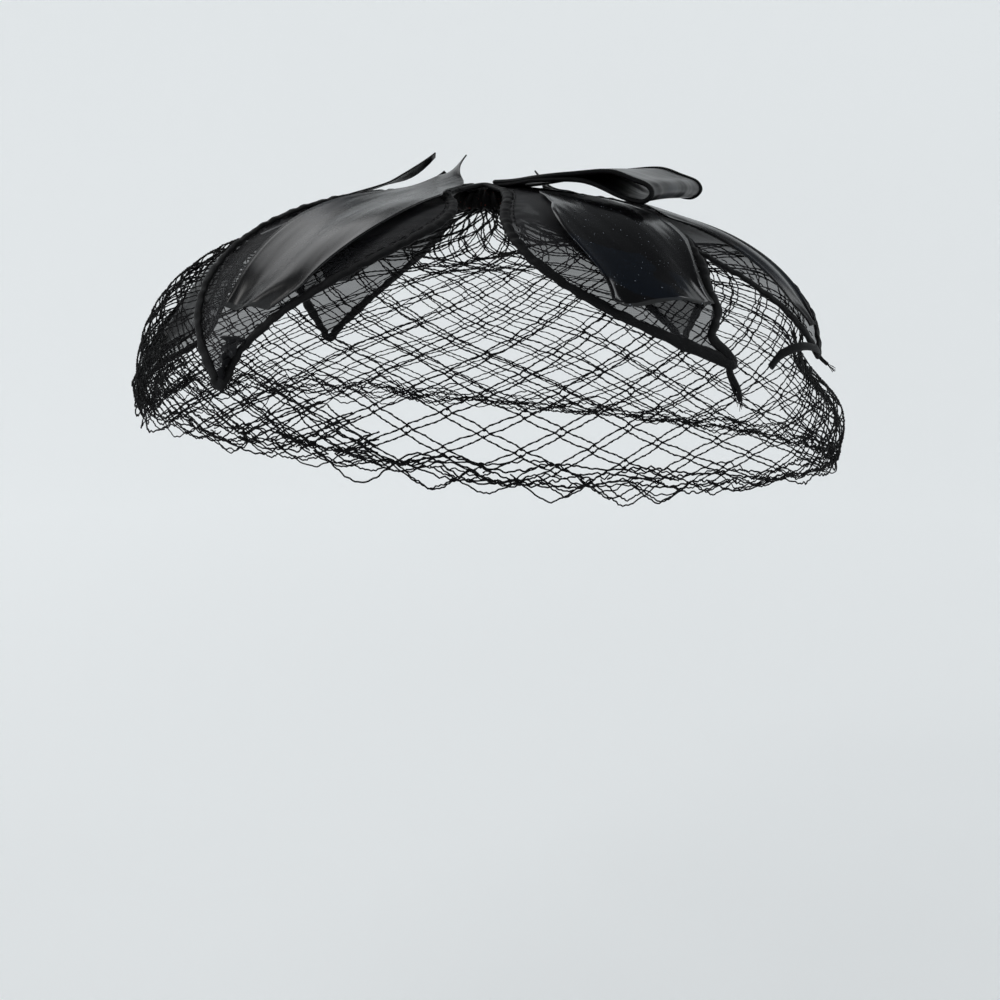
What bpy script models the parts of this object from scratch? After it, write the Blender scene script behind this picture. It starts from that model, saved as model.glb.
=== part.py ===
"""A veiled cocktail hat: an open dome of coarse diamond net, gathered at the crown, under six leaf-shaped
petals of sheer organza. Each petal has a bound edge and carries a leaf of glossy vinyl, and one ribbon
loop lies on top. Metres, +Z up. The origin is the underside of the crown, where the hat sits on a head."""

import math

import bpy
from mathutils import Vector

# Clearances and walls
GAP = 0.0003
VEIL_WALL = 0.0012
ORGANZA_WALL = 0.0010
VINYL_WALL = 0.0009
RIBBON_WALL = 0.0010
HEM_WALL = 0.0022

# Veil: a dome whose outline is an oval, cut off by a rim that tilts down towards +X
VEIL_RADIUS = 0.1195
VEIL_OVAL = 0.0052
VEIL_SHIFT = 0.0008
VEIL_DEPTH = 0.0880
RIM_RAISED = 0.0125
RIM_TILT = 0.0105
RIM_SAG = 0.0015
DOME_FULLNESS = 2.7
PETAL_DIP = 0.0040
DIP_SPREAD = 26.0
DIP_STARTS = (0.25, 0.55)
DIP_ENDS = (0.75, 1.0)
DOME_STEPS = 400
NORMAL_STEP = 0.0020
NORMAL_TURN = 0.02

# Net: diamonds whose struts each stand for a pair of threads
CELLS_AROUND = 22
NET_ROWS = 7
GATHER_RADIUS = 0.014
ROW_GROWTH = 1.2
STRUT_WIDTH = 0.0036
GATHERED_STRUT = 0.0018
FULL_STRUT_FROM = 0.6

# Turned hem below the rim: its section is given at shares of its depth
HEM_SECTION = (0.0, 0.45, 1.0)
HEM_DEPTH = 0.0080
HEM_DEPTH_LEFT = 0.0020
HEM_TURN_IN = 0.0050
HEM_CLEAR = 0.00055
HEM_STEPS = 66

# Crown: the stay that everything is sewn to
STAY_RADIUS = 0.0130
STAY_HEIGHT = 0.0017
STAY_SIDES = 16
# Its rings from foot to top: radius and height as shares
STAY_RINGS = ((0.94, 0.0), (1.0, 0.5), (0.86, 1.0))

# Petals of organza, and their bound edges. A root stands on the stay and comes down to the net
ROOT_RADIUS = 0.0100
ROOT_HALF_WIDTH = 0.0020
ROOT_TAPER = 3
ROOT_COMES_DOWN = (0.05, 0.25)
BEND_POWER = 5
PETAL_LIFT = 0.0014
CURL_POWER = 2.5
CURL_REACH = 1.2
BINDING_RADIUS = 0.0010
TIP_RADIUS = 0.0022
TIP_ROOM = 0.0040
PETAL_ROWS = 13
PETAL_COLUMNS = 7
BINDING_STEPS = 20
TIP_STEPS = 4
EDGE_ROOM = 0.0002
LEAST_HALF_WIDTH = 0.0005
TIP_SEARCH = (0.7, 1.0)
TIP_HALVINGS = 40
SLANT_STEP = 0.004

# Leaves of vinyl, each cut from a sine curve between two shares of it
LEAF_ROWS = 11
LEAF_COLUMNS = 5
LEAF_CUT = (0.03, 0.97)
LEAF_STAND = 0.0100
STAND_POWER = 6
BLUNT_POWER = 4
LEAF_MARGIN = 0.0030
MARGIN_FROM = 0.15
LEAF_ASIDE_BY = 0.3
LEAF_END_HALF_WIDTH = 0.0012
LEAF_POINTED = 0.8

# Ribbon loop on top
BOW_AZIMUTH = -30.0
BOW_LENGTH = 0.0720
BOW_HALF_WIDTH = 0.0200
BOW_ROOT_HALF_WIDTH = 0.0045
BOW_HEIGHT = 0.0100
BOW_SPREAD_BY = 0.55
BOW_COLUMNS = 5

# One row per petal: azimuth and sideways bend in degrees, its length, then how far its middle rises and its
# clockwise and anticlockwise edges curl up, in metres
PETALS = (
    ("near_left", -130.0, -1.0, 0.134, 0.0005, 0.0035, 0.0000),
    ("near_right", -66.0, 16.0, 0.126, 0.0010, 0.0000, 0.0000),
    ("right", -14.0, -9.0, 0.126, 0.0000, 0.0010, 0.0015),
    ("far_right", 46.0, 0.0, 0.128, 0.0005, 0.0000, 0.0000),
    ("far_left", 126.0, 0.0, 0.128, 0.0005, 0.0000, 0.0000),
    ("left", 187.0, 2.0, 0.138, 0.0000, 0.0000, 0.0000),
)

# Outline of a petal on its clockwise and its anticlockwise side: half width in metres, how far out it is
# widest, and how pointed it is
EVEN_SIDE = (0.0280, 1.35, 1.15)
OUTLINES = {
    "near_left": ((0.0235, 2.00, 1.00), (0.0395, 1.09, 2.00)),
    "near_right": ((0.0292, 1.85, 0.85), (0.0300, 1.35, 1.30)),
    "right": (EVEN_SIDE, EVEN_SIDE),
    "far_right": (EVEN_SIDE, EVEN_SIDE),
    "far_left": (EVEN_SIDE, EVEN_SIDE),
    "left": (EVEN_SIDE, EVEN_SIDE),
}

# One row per leaf: start and end as shares of its petal's length, half width in metres, how far out it is
# widest, half width of its blunt end in metres, how far its start and its end lie to the anticlockwise
# side, in metres, then how far its inner tip and its outer end stand up, as shares of LEAF_STAND
LEAVES = {
    "near_left": (0.08, 0.80, 0.0175, 1.25, 0.0040, 0.0095, -0.0010, 0.75, 0.05),
    "near_right": (0.30, 0.86, 0.0215, 1.00, 0.0165, 0.0125, -0.0036, 0.00, 0.10),
    "right": (0.36, 0.86, 0.0154, 1.10, 0.0022, 0.0, 0.0, 0.00, 0.30),
    "far_right": (0.12, 0.80, 0.0180, 1.20, 0.0028, 0.0, 0.0, 0.50, 0.10),
    "far_left": (0.12, 0.80, 0.0180, 1.20, 0.0028, 0.0, 0.0, 0.50, 0.10),
    "left": (0.08, 0.90, 0.0170, 1.20, 0.0080, 0.0, 0.0, 0.85, 0.00),
}

# The ribbon loop's side view from its root, as shares of its length and height: along, height
BOW_SIDE = (
    (0.03, 0.00),
    (0.22, 0.03),
    (0.42, -0.06),
    (0.65, -0.26),
    (0.86, -0.56),
    (0.95, -0.60),
    (1.00, -0.38),
    (0.98, -0.10),
    (0.88, 0.06),
    (0.74, 0.34),
    (0.58, 0.46),
    (0.40, 0.38),
    (0.16, 0.26),
    (0.03, 0.20),
)

COLOURS = {
    "net": ((0.012, 0.012, 0.013), 0.65, 0.0),
    "organza": ((0.030, 0.030, 0.034), 0.55, 0.0),
    "binding": ((0.010, 0.010, 0.011), 0.60, 0.0),
    "vinyl": ((0.016, 0.016, 0.018), 0.12, 0.0),
    "ribbon": ((0.014, 0.014, 0.015), 0.18, 0.0),
    "stay": ((0.045, 0.018, 0.014), 0.80, 0.0),
}


def clear_scene():
    for obj in list(bpy.data.objects):
        bpy.data.objects.remove(obj, do_unlink=True)


def material(name):
    colour, roughness, metallic = COLOURS[name]
    made = bpy.data.materials.get(name) or bpy.data.materials.new(name)
    made.use_nodes = True
    shader = made.node_tree.nodes["Principled BSDF"]
    shader.inputs["Base Color"].default_value = (*colour, 1.0)
    shader.inputs["Roughness"].default_value = roughness
    shader.inputs["Metallic"].default_value = metallic
    made.diffuse_color = (*colour, 1.0)
    return made


def smooth_step(low, high, value):
    share = min(max((value - low) / (high - low), 0.0), 1.0)
    return share * share * (3.0 - 2.0 * share)


def veil_reach(azimuth):
    """Radius of the rim in this direction."""
    return VEIL_RADIUS + VEIL_OVAL * math.cos(2 * azimuth) - VEIL_SHIFT * math.cos(azimuth)


def rim_drop(azimuth):
    """Depth of the rim below the crown in this direction."""
    sag = RIM_SAG * (1.0 - math.cos(2 * azimuth))
    return VEIL_DEPTH - RIM_RAISED + RIM_TILT * math.cos(azimuth) + sag


def dome_shares(angle):
    """(reach, drop) shares of the dome's side curve, a superellipse, from 0 at the crown to pi / 2."""
    power = 2.0 / DOME_FULLNESS
    return math.sin(angle) ** power, 1.0 - max(math.cos(angle), 0.0) ** power


def dome_lengths():
    """[(length from the crown, reach share, drop share)] down the dome's mean side curve."""
    found = [(0.0, 0.0, 0.0)]
    for step in range(1, DOME_STEPS + 1):
        reach, drop = dome_shares(step / DOME_STEPS * math.pi / 2)
        last = found[-1]
        stride = math.hypot((reach - last[1]) * VEIL_RADIUS, (drop - last[2]) * VEIL_DEPTH)
        found.append((last[0] + stride, reach, drop))
    return found


DOME = dome_lengths()
FULL_ARC = DOME[-1][0]


def dome_at(arc):
    """(reach, drop) shares at a length from the crown."""
    low, high = 0, len(DOME) - 1
    arc = min(max(arc, 0.0), FULL_ARC)
    while high - low > 1:
        middle = (low + high) // 2
        if DOME[middle][0] <= arc:
            low = middle
        else:
            high = middle
    share = (arc - DOME[low][0]) / (DOME[high][0] - DOME[low][0])
    return tuple(DOME[low][k] + share * (DOME[high][k] - DOME[low][k]) for k in (1, 2))


def rim_arc(azimuth):
    """Length from the crown to the rim in this direction."""
    drop = rim_drop(azimuth) / VEIL_DEPTH
    return next(length for length, _, share in DOME if share >= drop)


def on_dome(azimuth, arc):
    reach, drop = dome_at(arc)
    radius = veil_reach(azimuth) * reach
    height = VEIL_WALL - VEIL_DEPTH * drop
    return Vector((radius * math.cos(azimuth), radius * math.sin(azimuth), height))


def dome_normal(azimuth, arc):
    arc = min(max(arc, 2 * NORMAL_STEP), FULL_ARC - NORMAL_STEP)
    down = on_dome(azimuth, arc + NORMAL_STEP) - on_dome(azimuth, arc - NORMAL_STEP)
    sideways = on_dome(azimuth + NORMAL_TURN, arc) - on_dome(azimuth - NORMAL_TURN, arc)
    return down.cross(sideways).normalized()


def above_dome(azimuth, arc, lift):
    return on_dome(azimuth, arc) + dome_normal(azimuth, arc) * lift


def veil_point(azimuth, arc):
    """A point of the veil's outer face. The net dips where a petal presses on it and puffs between."""
    share = arc / FULL_ARC
    under_petal = 0.0
    for _, middle, bend, *_ in PETALS:
        away = azimuth - math.radians(middle + bend * min(share, 1.0) ** BEND_POWER)
        away = abs(math.remainder(away, 2 * math.pi)) / math.radians(DIP_SPREAD)
        under_petal = max(under_petal, 1.0 - smooth_step(0.0, 1.0, away))
    waist = smooth_step(*DIP_STARTS, share) * (1.0 - smooth_step(*DIP_ENDS, share))
    return above_dome(azimuth, arc, -PETAL_DIP * under_petal * waist)


def finish_mesh(name, points, faces, slot):
    mesh = bpy.data.meshes.new(name)
    mesh.from_pydata(points, [], faces)
    mesh.validate()
    mesh.shade_smooth()
    obj = bpy.data.objects.new(name, mesh)
    bpy.context.scene.collection.objects.link(obj)
    mesh.materials.append(material(slot))
    return obj


def thicken(obj, wall, offset):
    solid = obj.modifiers.new("wall", "SOLIDIFY")
    solid.thickness = wall
    solid.offset = offset
    solid.use_even_offset = True
    return obj


def sheet(name, rows, wall, slot):
    """A sheet through rows of points that run outward, each from its clockwise edge."""
    wide = len(rows[0])
    faces = []
    for i in range(len(rows) - 1):
        for j in range(wide - 1):
            near = i * wide + j
            faces.append((near, near + wide, near + wide + 1, near + 1))
    return thicken(finish_mesh(name, [p for row in rows for p in row], faces, slot), wall, 0.0)


def tube(name, path, radius, slot):
    curve = bpy.data.curves.new(name, "CURVE")
    curve.dimensions = "3D"
    curve.bevel_depth = radius
    curve.bevel_resolution = 1
    curve.use_fill_caps = True
    spline = curve.splines.new("POLY")
    spline.points.add(len(path) - 1)
    for point, place in zip(spline.points, path):
        point.co = (*place, 1.0)
    curve.materials.append(material(slot))
    obj = bpy.data.objects.new(name, curve)
    bpy.context.scene.collection.objects.link(obj)
    return obj


def ring_arc(ring, azimuth):
    """Length from the crown to a ring of crossings in this direction."""
    return GATHER_RADIUS + (rim_arc(azimuth) - GATHER_RADIUS) * (ring / NET_ROWS) ** ROW_GROWTH


def crossing(ring, index):
    """(azimuth, arc) of a crossing of the net. Each ring of crossings is staggered by half a cell."""
    azimuth = (index + 0.5 * (ring % 2)) * 2 * math.pi / CELLS_AROUND
    return azimuth, ring_arc(ring, azimuth)


def veil():
    """The net, laid out by its holes: each has a corner near each of the four crossings round it."""
    points = []
    corners = {}

    def corner(key, azimuth, arc):
        corners[key] = len(points)
        points.append(veil_point(azimuth, arc))

    half_cell = math.pi / CELLS_AROUND
    for ring in range(1, NET_ROWS + 1):
        for index in range(CELLS_AROUND):
            azimuth, arc = crossing(ring, index)
            middle = azimuth + half_cell
            above = ring_arc(ring - 1, middle)
            radius = VEIL_RADIUS * dome_at(arc)[0]
            full = min(radius / VEIL_RADIUS / FULL_STRUT_FROM, 1.0)
            strut = 0.5 * (GATHERED_STRUT + (STRUT_WIDTH - GATHERED_STRUT) * full)
            slant = math.atan2(half_cell * radius, arc - above)
            side = strut / math.cos(slant) / radius
            after = crossing(ring, index + 1)[1]
            corner((ring, index, "left"), azimuth + side, arc)
            corner((ring, index, "right"), azimuth + 2 * half_cell - side, after)
            corner((ring, index, "top"), middle, above + strut / math.sin(slant))
            if ring < NET_ROWS:
                below = ring_arc(ring + 1, middle)
                slope = math.atan2(half_cell * radius, below - arc)
                corner((ring, index, "foot"), middle, below - strut / math.sin(slope))
    for index in range(CELLS_AROUND):
        corner((0, index, "cap"), *crossing(0, index))
    corner("crown", 0.0, 0.0)

    def hole(ring, index, place):
        return corners[(ring, index % CELLS_AROUND, place)]

    def below_right(ring, index):
        """Index of the hole or notch on the ring below whose top is at this crossing."""
        return index if ring % 2 else index - 1

    faces = []
    for index in range(CELLS_AROUND):
        cap, after = hole(0, index, "cap"), hole(0, index + 1, "cap")
        faces.append((corners["crown"], cap, after))
        left, right = below_right(0, index), below_right(0, index + 1)
        faces.append(
            (cap, hole(1, left, "top"), hole(1, left, "right"))
            + (hole(1, right, "left"), hole(1, right, "top"), after)
        )
    for ring in range(1, NET_ROWS + 1):
        for index in range(CELLS_AROUND):
            before, here = hole(ring, index - 1, "right"), hole(ring, index, "left")
            above = index - 1 if ring % 2 == 0 else index
            joint = [before, here]
            if ring > 1:
                joint.append(hole(ring - 1, above, "foot"))
            if ring < NET_ROWS:
                joint.insert(1, hole(ring + 1, below_right(ring, index), "top"))
            faces.append(tuple(joint))
            if ring == NET_ROWS:
                continue
            down = below_right(ring, index)
            notch_left = hole(ring + 1, down, "left")
            notch_right = hole(ring + 1, down, "right")
            top = hole(ring + 1, down, "top")
            faces.append((before, hole(ring, index - 1, "foot"), notch_left, top))
            faces.append((top, notch_right, hole(ring, index, "foot"), here))
    return thicken(finish_mesh("veil", points, faces, "net"), VEIL_WALL, -1.0)


def hem():
    """The net's turned edge: a band that starts just below the rim and turns in."""
    rows = []
    for step in range(HEM_STEPS + 1):
        azimuth = step / HEM_STEPS * 2 * math.pi
        depth = HEM_DEPTH + HEM_DEPTH_LEFT * max(-math.cos(azimuth), 0.0)
        top = veil_point(azimuth, rim_arc(azimuth))
        outward = Vector((math.cos(azimuth), math.sin(azimuth), 0.0))
        row = []
        for share in HEM_SECTION:
            inward = HEM_TURN_IN * share * share + HEM_WALL / 2
            fall = GAP + HEM_CLEAR + depth * share
            row.append(top - outward * inward - Vector((0.0, 0.0, fall)))
        rows.append(row)
    wide = len(rows[0])
    points = [point for row in rows[:-1] for point in row]
    faces = []
    for i in range(HEM_STEPS):
        after = (i + 1) % HEM_STEPS
        for j in range(wide - 1):
            faces.append((i * wide + j, i * wide + j + 1, after * wide + j + 1, after * wide + j))
    return thicken(finish_mesh("veil_hem", points, faces, "net"), HEM_WALL, 0.0)


def crown_stay():
    """A low button between the net and the petals' roots."""
    base = VEIL_WALL + GAP
    points = [Vector((0.0, 0.0, base)), Vector((0.0, 0.0, base + STAY_HEIGHT))]
    for reach, height in STAY_RINGS:
        for side in range(STAY_SIDES):
            angle = side / STAY_SIDES * 2 * math.pi
            outward = Vector((math.cos(angle), math.sin(angle), 0.0)) * STAY_RADIUS * reach
            points.append(outward + Vector((0.0, 0.0, base + STAY_HEIGHT * height)))
    faces = []
    for side in range(STAY_SIDES):
        after = (side + 1) % STAY_SIDES
        low, middle, high = (2 + ring * STAY_SIDES for ring in range(3))
        faces.append((0, low + after, low + side))
        faces.append((low + side, low + after, middle + after, middle + side))
        faces.append((middle + side, middle + after, high + after, high + side))
        faces.append((1, high + side, high + after))
    return finish_mesh("crown_stay", points, faces, "stay")


class Petal:
    """One petal's surface, measured from its root along the midrib and across it."""

    def __init__(self, name, azimuth, bend, length, rise, curl_clock, curl_anti):
        self.name = name
        self.azimuth = math.radians(azimuth)
        self.bend = math.radians(bend)
        self.length = length
        self.rise = rise
        self.curls = (curl_clock, curl_anti)

    def width_at(self, share, side):
        """Half width at a share of the length, on the clockwise side, -1, or the anticlockwise side, 1."""
        share = min(max(share, 0.0), 1.0)
        half_width, widest, pointed = OUTLINES[self.name][0 if side < 0 else 1]
        outline = math.sin(math.pi * share**widest) ** pointed
        return ROOT_HALF_WIDTH * (1.0 - share) ** ROOT_TAPER + half_width * outline

    def lift(self, share, across):
        """Height of the organza's middle above the dome."""
        seat = GAP + STAY_HEIGHT + GAP + BINDING_RADIUS
        rooted = 1.0 - smooth_step(*ROOT_COMES_DOWN, share)
        level = PETAL_LIFT + (seat - PETAL_LIFT) * rooted
        side = across / max(self.width_at(share, across), ROOT_HALF_WIDTH)
        open_ = math.sin(math.pi * min(share, 1.0))
        curl = self.curls[0] if side < 0 else self.curls[1]
        curled = curl * min(abs(side), CURL_REACH) ** CURL_POWER
        return level + open_ * (self.rise * (1.0 - side * side) + curled)

    def point(self, share, across, above=0.0):
        arc = ROOT_RADIUS + self.length * share
        middle = self.azimuth + self.bend * share**BEND_POWER
        radius = veil_reach(middle) * dome_at(arc)[0]
        azimuth = middle + across / radius
        return above_dome(azimuth, arc, self.lift(share, across) + above)

    def tip_share(self):
        """(share of the length, place across) where the outline has narrowed to the round tip."""
        low, high = TIP_SEARCH
        for _ in range(TIP_HALVINGS):
            middle = (low + high) / 2
            if self.width_at(middle, -1) + self.width_at(middle, 1) > 2 * TIP_RADIUS:
                low = middle
            else:
                high = middle
        return low, (self.width_at(low, 1) - self.width_at(low, -1)) / 2

    def slant(self, share, side):
        """How steeply an edge runs sideways: its change across for each metre outward."""
        low, high = max(share - SLANT_STEP, 0.0), share + SLANT_STEP
        radius = veil_reach(self.azimuth) * dome_at(ROOT_RADIUS + self.length * share)[0]
        swing = self.bend * (high**BEND_POWER - low**BEND_POWER) * radius
        spread = side * (self.width_at(high, side) - self.width_at(low, side))
        return (swing + spread) / ((high - low) * self.length)

    def organza(self):
        inset = BINDING_RADIUS + GAP + EDGE_ROOM
        end = self.tip_share()[0] - TIP_ROOM / self.length
        rows = []
        for i in range(PETAL_ROWS + 1):
            share = end * i / PETAL_ROWS
            room = [inset * math.hypot(1.0, self.slant(share, side)) for side in (-1, 1)]
            low, high = room[0] - self.width_at(share, -1), self.width_at(share, 1) - room[1]
            middle, half = (low + high) / 2, max((high - low) / 2, LEAST_HALF_WIDTH)
            row = []
            for j in range(PETAL_COLUMNS):
                across = middle + half * (2 * j / (PETAL_COLUMNS - 1) - 1)
                row.append(self.point(share, across))
            rows.append(row)
        return sheet("petal_" + self.name, rows, ORGANZA_WALL, "organza")

    def binding(self):
        end, middle = self.tip_share()
        shares = [end * i / BINDING_STEPS for i in range(BINDING_STEPS)]
        turn = []
        for i in range(TIP_STEPS + 1):
            angle = math.pi * (i / TIP_STEPS - 0.5)
            further = TIP_RADIUS * math.cos(angle) / self.length
            turn.append((end + further, middle + TIP_RADIUS * math.sin(angle)))
        outline = [(share, -self.width_at(share, -1)) for share in shares] + turn
        outline += [(share, self.width_at(share, 1)) for share in reversed(shares)]
        path = [self.point(share, across) for share, across in outline]
        return tube("binding_" + self.name, path, BINDING_RADIUS, "binding")

    def leaf(self):
        start, end, width, widest, blunt, aside, end_aside, tip_stand, end_stand = LEAVES[self.name]
        seat = ORGANZA_WALL / 2 + GAP + VINYL_WALL / 2
        first_cut, last_cut = LEAF_CUT
        rows = []
        for i in range(LEAF_ROWS + 1):
            share = i / LEAF_ROWS
            cut = first_cut + (last_cut - first_cut) * share
            shape = math.sin(math.pi * cut**widest) ** LEAF_POINTED
            half = width * shape + blunt * share**BLUNT_POWER * (1.0 - shape)
            raised = tip_stand * (1.0 - share) ** STAND_POWER + end_stand * share**STAND_POWER
            stand = seat + LEAF_STAND * raised
            place = start + (end - start) * share
            middle = (aside + (end_aside - aside) * share * share) * smooth_step(0.0, LEAF_ASIDE_BY, share)
            low, high = middle - half, middle + half
            if place > MARGIN_FROM:
                low = max(low, LEAF_MARGIN - self.width_at(place, -1))
                high = min(high, self.width_at(place, 1) - LEAF_MARGIN)
            middle, half = (low + high) / 2, max((high - low) / 2, LEAF_END_HALF_WIDTH)
            sides = [2 * j / (LEAF_COLUMNS - 1) - 1 for j in range(LEAF_COLUMNS)]
            rows.append([self.point(place, middle + half * side, stand) for side in sides])
        return sheet("leaf_" + self.name, rows, VINYL_WALL, "vinyl")


def bow_loop():
    """A wide ribbon that runs out from the crown, turns over and comes back above itself."""
    direction = math.radians(BOW_AZIMUTH)
    along = Vector((math.cos(direction), math.sin(direction), 0.0))
    aside = Vector((-along.y, along.x, 0.0))
    root = VEIL_WALL + GAP + STAY_HEIGHT + GAP + 2 * BINDING_RADIUS + GAP + RIBBON_WALL / 2
    rows = []
    for distance, height in BOW_SIDE:
        spread = smooth_step(0.0, BOW_SPREAD_BY, distance)
        half = BOW_ROOT_HALF_WIDTH + (BOW_HALF_WIDTH - BOW_ROOT_HALF_WIDTH) * spread
        row = []
        for j in range(BOW_COLUMNS):
            side = 2 * j / (BOW_COLUMNS - 1) - 1
            place = along * distance * BOW_LENGTH + aside * side * half
            row.append(place + Vector((0.0, 0.0, root + height * BOW_HEIGHT)))
        rows.append(row)
    return sheet("bow_loop", rows, RIBBON_WALL, "ribbon")


def main():
    clear_scene()
    veil()
    hem()
    crown_stay()
    for row in PETALS:
        petal = Petal(*row)
        petal.organza()
        petal.binding()
        petal.leaf()
    bow_loop()


main()
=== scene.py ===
"""The looks of a veiled cocktail hat: a gathered net of black threads, six sheer petals with bound edges,
a glossy leaf on each petal and a ribbon loop on the crown. Metres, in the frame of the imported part."""

import math
import random

import bpy
import numpy as np
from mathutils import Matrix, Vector


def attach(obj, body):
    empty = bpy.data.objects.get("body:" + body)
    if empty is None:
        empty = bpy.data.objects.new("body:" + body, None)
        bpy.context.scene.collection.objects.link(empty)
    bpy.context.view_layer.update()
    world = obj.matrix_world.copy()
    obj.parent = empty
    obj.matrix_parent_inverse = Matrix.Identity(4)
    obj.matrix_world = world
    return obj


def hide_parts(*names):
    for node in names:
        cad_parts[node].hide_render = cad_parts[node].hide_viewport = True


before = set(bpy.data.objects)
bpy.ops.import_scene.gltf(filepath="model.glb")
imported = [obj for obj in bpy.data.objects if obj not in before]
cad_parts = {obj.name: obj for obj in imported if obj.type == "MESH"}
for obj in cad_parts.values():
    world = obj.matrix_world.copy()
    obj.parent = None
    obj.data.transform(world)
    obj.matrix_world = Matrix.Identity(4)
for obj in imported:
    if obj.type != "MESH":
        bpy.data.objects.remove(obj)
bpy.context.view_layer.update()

# Clearances and walls of the solids that the pieces stand for
GAP = 0.0003
VEIL_WALL = 0.0012
ORGANZA_WALL = 0.0010
VINYL_WALL = 0.0009
RIBBON_WALL = 0.0010

# The veil's dome, an oval superellipse cut off by a tilted rim
VEIL_RADIUS = 0.1195
VEIL_OVAL = 0.0052
VEIL_SHIFT = 0.0008
VEIL_DEPTH = 0.0880
RIM_RAISED = 0.0125
RIM_TILT = 0.0105
RIM_SAG = 0.0015
DOME_FULLNESS = 2.7
PETAL_DIP = 0.0040
DIP_SPREAD = 26.0
DIP_STARTS = (0.25, 0.55)
DIP_ENDS = (0.75, 1.0)
DOME_STEPS = 400
BELOW_DOME = 0.030
NORMAL_STEP = 0.0020
NORMAL_TURN = 0.02

# How far the net sags round the crown, and at which lengths from it the sag starts, petals take it up, and
# it ends
NET_SAG = 0.0140
SAG_STARTS = (-0.012, 0.066)
HELD_UP_FROM = (0.040, 0.095)
SAG_ENDS = (0.060, 0.150)

# The net: diamonds of paired threads, drawn together towards the crown
NET_PAIRS = 34
NET_SIDE = 0.0120
NET_START = 0.0085
LEAST_ROW = 0.0050
PAIR_SHARE = 0.125
CROSSING_PINCH = 0.34
CROSSING_REACH = 0.17
PAIR_AT_CROWN = 0.15
PAIR_OPENS = (0.020, 0.050)
THREAD_RADIUS = 0.00024
THREAD_STEP = 0.055
THREAD_SIDES = 4
SHORTEST_RUN = 16
THREAD_SWELL = 0.22
SWELL_TURNS = 2600.0
KNOT_RADIUS = 0.00046
RIM_OVERHANG = 0.002
LEAST_GATHER_RADIUS = 0.012
GATHER_ARC = 0.030
GATHER_REACH = 0.022
PUFF_FROM = (0.03, 0.06)

# Small waves along a thread, to its side and outwards: size, then wavelengths
CRINKLE = (0.00008, 0.0017, 0.0043, 0.0110)
SHAKE = (0.00005, 0.0021, 0.0052)

# Waves over a layer of net: size, least and most waves round the dome, wavelength down it
NET_WAVES = {
    "shift_round": (0.0011, (3, 9), 0.075),
    "shift_down": (0.0013, (3, 9), 0.075),
    "gather_round": (0.0004, (9, 21), 0.030),
    "gather_down": (0.0007, (7, 19), 0.030),
    "puff": (0.0010, (3, 8), 0.060),
}
FULL_TURN = 6.28

# A wavelength so long that a wave varies only round the dome
ROUND_ONLY = 9.9

# Further layers of net: middle azimuth and spread in degrees, reach above the rim, pairs of threads, and how
# far they lie off the dome
SIDE_LAYERS = (
    (184.0, 34.0, 0.078, 38, 0.0006),
    (-8.0, 28.0, 0.040, 38, 0.0002),
    (212.0, 42.0, 0.024, 40, -0.0030),
    (214.0, 40.0, 0.018, 36, -0.0055),
)
LAYER_SIDE = 0.0085
LAYER_START = 0.05
LAYER_UNEVEN = 1.3
LAYER_EDGE = 0.10
LAYER_EDGE_WAVES = (3, 14)

# The hem: threads drawn together round the rim, and zigzags that hang below them at the front and the left
HEM_THREADS = 7
HEM_POINTS = 900
HEM_WAVES = ((0.0015, (5, 30)), (0.0009, (5, 26)), (0.00022, (120, 300)))
HEM_LEVEL = (-0.0010, 0.0040)
HEM_AT_LEFT = 0.0060
HEM_INWARD = (0.0003, 0.0030)
ZIGZAG_LAYERS = 3
ZIGZAGS = 36
MORE_ZIGZAGS = 5
ZIGZAG_POINTS = 30
ZIGZAG_DROP = 0.0024
DROP_AT_FRONT = 0.0066
DROP_AT_LEFT = 0.0030
FRONT_AZIMUTH = -80.0
FRONT_SPREAD = 24.0
ZIGZAG_CRINKLE = (0.00018, 0.0017, 0.0046)

# The pinch where the net is caught below the right petal's tip: azimuth in degrees, length from the crown
PINCH_AZIMUTH = -7.0
PINCH_ARC = 0.138
PINCH_SPREAD = 17.0
PINCH_REACH = 0.013
PINCH_DEPTH = 0.0090
PINCH_DRAW = 0.55

# How far the net stands off where a petal lies on it, or runs over the petal, how far that petal sinks, and
# how steeply it turns in across its tip
NET_AT_PETAL = {"left": 0.0006, "right": 0.0}
PETAL_SINKS = {"left": 0.0034, "right": 0.0018}
SINKS_FROM = (0.22, 0.50)
PETAL_TURNS_IN = {"left": 0.42}
TURNS_FROM = (0.50, 0.88)

# Crown and petals
STAY_HEIGHT = 0.0017
ROOT_RADIUS = 0.0100
ROOT_HALF_WIDTH = 0.0020
ROOT_TAPER = 3
ROOT_COMES_DOWN = (0.05, 0.25)
BEND_POWER = 5
PETAL_LIFT = 0.0014
CURL_POWER = 2.5
CURL_REACH = 1.2
BINDING_RADIUS = 0.0010
TIP_RADIUS = 0.0022
TIP_SEARCH = (0.7, 1.0)
TIP_HALVINGS = 40
ROOT_SHARE = -0.055
PETAL_ROWS = 96
PETAL_COLUMNS = 36
BINDING_HALF_WIDTH = 0.0017
BINDING_HALF_DEPTH = 0.0008
ARCH_FROM = (0.15, 0.10, 0.06)
ARCH_RADIUS = 0.0065
ARCH_HEIGHT = 0.0064
BINDING_STEP = 0.0008
STITCH_LENGTH = 0.0017
STITCH_EVERY = 0.0027
STITCH_INSET = 0.0024
STITCH_BOW = 0.00022
STITCH_RADIUS = 0.00017
SCRAP_SHARES = (0.885, 0.978, 26)
SCRAP_SIDES = (-0.15, 0.92, 22)
SCRAP_THINNER = 0.2
PUCKER = 0.00035
PUCKER_TURNS = 950.0
FOLD = 0.0006
FOLD_TURNS = 260.0

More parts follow.
